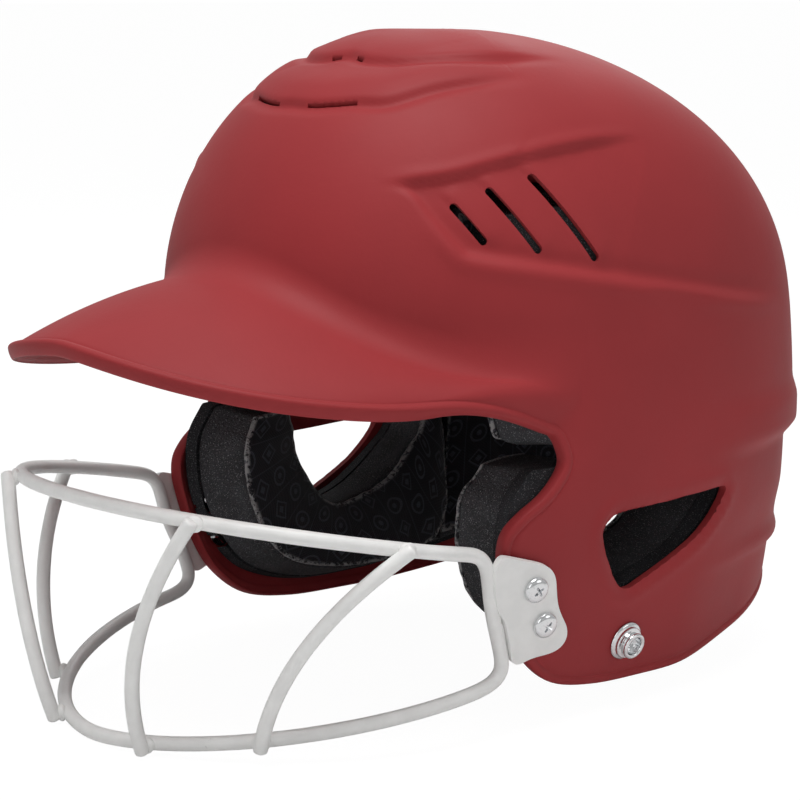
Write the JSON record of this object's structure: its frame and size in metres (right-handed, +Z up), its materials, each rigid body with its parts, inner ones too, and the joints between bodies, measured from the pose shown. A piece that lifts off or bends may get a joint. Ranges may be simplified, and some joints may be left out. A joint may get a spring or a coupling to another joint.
{
  "type": "batting helmet with face guard",
  "caption": "Batting helmet with a bill, two ear flaps with ear holes, vents, foam and fabric padding, and a bolted-on coated wire face guard.",
  "frame": {"origin": "middle of the head at brow height, on the middle plane", "axes": "+Z up, -Y to the front where the bill points, +X to the wearer's left"},
  "size_m": [0.202, 0.317, 0.237],
  "materials": {
    "shell": "matte soft-touch red over moulded ABS",
    "dense_foam": "dense closed-cell foam, charcoal",
    "soft_foam": "soft open-cell foam, charcoal, cut sides",
    "liner_fabric": "near-black knit with faint grey-blue printed shapes",
    "guard_coat": "satin off-white dipped coating on steel wire and plate",
    "fastener_steel": "bright zinc-plated steel",
    "stud_nickel": "polished nickel"
  },
  "bodies": {
    "root": {"shell": "shell", "brow_liner": "dense_foam", "brow_pad": "soft_foam", "brow_cover": "liner_fabric", "crown_pad": "soft_foam", "crown_cover": "liner_fabric", "rear_liner": "dense_foam", "rear_pad": "soft_foam", "rear_cover": "liner_fabric", "temple_pad_left": "soft_foam", "temple_pad_right": "soft_foam", "temple_cover_left": "liner_fabric", "temple_cover_right": "liner_fabric", "ear_liner_left": "dense_foam", "ear_liner_right": "dense_foam", "ear_pad_left": "soft_foam", "ear_pad_right": "soft_foam", "ear_cover_left": "liner_fabric", "ear_cover_right": "liner_fabric", "guard_loop": "guard_coat", "guard_bar_inner_left": "guard_coat", "guard_bar_inner_right": "guard_coat", "guard_bar_outer_left": "guard_coat", "guard_bar_outer_right": "guard_coat", "guard_plate_left": "guard_coat", "guard_plate_right": "guard_coat", "guard_screws_left": "fastener_steel", "guard_screws_right": "fastener_steel", "guard_nuts_left": "fastener_steel", "guard_nuts_right": "fastener_steel", "strap_stud_left": "stud_nickel", "strap_stud_right": "stud_nickel", "stud_rivet_left": "stud_nickel", "stud_rivet_right": "stud_nickel"}
  },
  "joints": []
}
